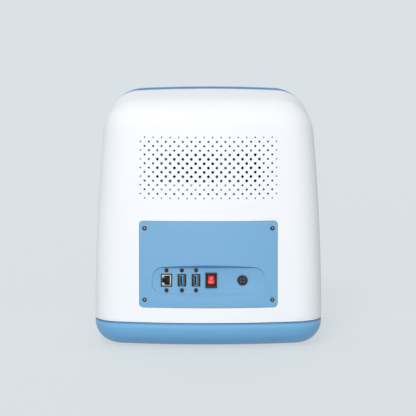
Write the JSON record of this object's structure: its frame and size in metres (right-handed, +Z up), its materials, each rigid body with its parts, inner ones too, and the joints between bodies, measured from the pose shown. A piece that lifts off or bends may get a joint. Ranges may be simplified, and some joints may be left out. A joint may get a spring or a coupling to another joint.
{
  "type": "automated cell counter",
  "caption": "Bench instrument with an arched two-tone housing, leaning touch screen, motorised slide tray, perforated curved back and a recessed socket panel.",
  "frame": {"origin": "middle of the footprint, on the bench under the rubber feet", "axes": "+Z up; +Y out of the perforated back with the sockets; +X to the left as seen from the back; the screen and the slide tray face -Y"},
  "size_m": [0.311, 0.3, 0.3413],
  "materials": {
    "white_shell": "fine moulded texture",
    "blue_shell": "fine moulded texture",
    "blue_panel": "fine moulded texture",
    "black_plastic": "satin",
    "black_rubber": "matt",
    "black_screw": "black oxide",
    "steel": "satin",
    "plated_steel": "bright plated",
    "gold_contact": "plated",
    "blue_tongue": "moulded",
    "red_rocker": "moulded",
    "screen_glass": "clear over black print",
    "lcd": "dark display",
    "aluminium": "machined",
    "board": "solder mask",
    "foam": "open cell foam",
    "lens_glass": "polished",
    "white_plastic": "satin"
  },
  "bodies": {
    "housing": {"base_tray": "blue_shell", "rubber_feet": "black_rubber", "rear_shell": "white_shell", "rear_panel": "blue_panel", "panel_screws": "steel", "port_screws": "black_screw", "lan_body": "black_plastic", "lan_shield": "plated_steel", "lan_insert": "black_plastic", "lan_contacts": "gold_contact", "usb_body_1": "black_plastic", "usb_shell_1": "plated_steel", "usb_tongue_1": "blue_tongue", "usb_body_2": "black_plastic", "usb_shell_2": "plated_steel", "usb_tongue_2": "blue_tongue", "switch_body": "black_plastic", "switch_terminals": "plated_steel", "inlet_body": "black_plastic", "inlet_pins": "gold_contact", "inlet_nut": "steel", "front_bezel": "blue_shell", "screen_glass": "screen_glass", "lcd_module": "lcd", "screen_bracket": "steel", "screen_screws": "black_screw", "chassis_plate": "steel", "chassis_screws": "black_screw", "board_standoffs": "steel", "mainboard": "board", "board_screws": "steel", "heat_sink": "aluminium", "board_connectors": "white_plastic", "fan_frame": "black_plastic", "fan_bracket": "steel", "fan_screws": "black_screw", "baffle_foam": "foam", "tray_bed": "aluminium", "tray_rails": "steel", "screw_bearing": "aluminium", "tray_motor_plate": "steel", "tray_motor": "black_plastic", "optics_frame": "aluminium", "focus_rail": "steel", "focus_motor_plate": "steel", "focus_motor": "black_plastic", "led_lamp": "aluminium", "condenser_lens": "lens_glass"},
    "rocker": {"switch_rocker": "red_rocker"},
    "fan": {"fan_rotor": "black_plastic"},
    "tray": {"slide_tray": "aluminium", "tray_cap": "blue_shell", "tray_bearings": "white_plastic", "tray_nut": "white_plastic"},
    "tray_drive": {"tray_screw": "steel"},
    "focus": {"focus_carriage": "aluminium", "camera_tube": "aluminium", "objective": "aluminium", "camera": "black_plastic"},
    "focus_drive": {"focus_screw": "steel"}
  },
  "joints": [
    {"name": "power_rocker", "type": "hinge", "parent": "housing", "child": "rocker", "pos_m": [-0.0037, 0.14296, 0.0955], "axis": [1, 0, 0], "range_deg": [-20, 0]},
    {"name": "fan_spin", "type": "hinge", "parent": "housing", "child": "fan", "pos_m": [0.019, 0.11, 0.241], "axis": [0, 1, 0], "continuous": true},
    {"name": "tray_slide", "type": "slide", "parent": "housing", "child": "tray", "axis": [0, -1, 0], "range_m": [0, 0.098]},
    {"name": "tray_screw_turn", "type": "hinge", "parent": "housing", "child": "tray_drive", "pos_m": [0.057, 0, 0.084], "axis": [0, 1, 0], "range_deg": [-10, 1800]},
    {"name": "focus_slide", "type": "slide", "parent": "housing", "child": "focus", "axis": [0, 0, 1], "range_m": [-0.003, 0.003]},
    {"name": "focus_screw_turn", "type": "hinge", "parent": "housing", "child": "focus_drive", "pos_m": [0.014, -0.047, 0.19], "axis": [0, 0, 1], "range_deg": [-560, 560]}
  ],
  "couplings": [
    {"joint": "tray_screw_turn", "follows": "tray_slide", "rad_per_m": 314.16},
    {"joint": "focus_screw_turn", "follows": "focus_slide", "rad_per_m": 3141.6}
  ]
}
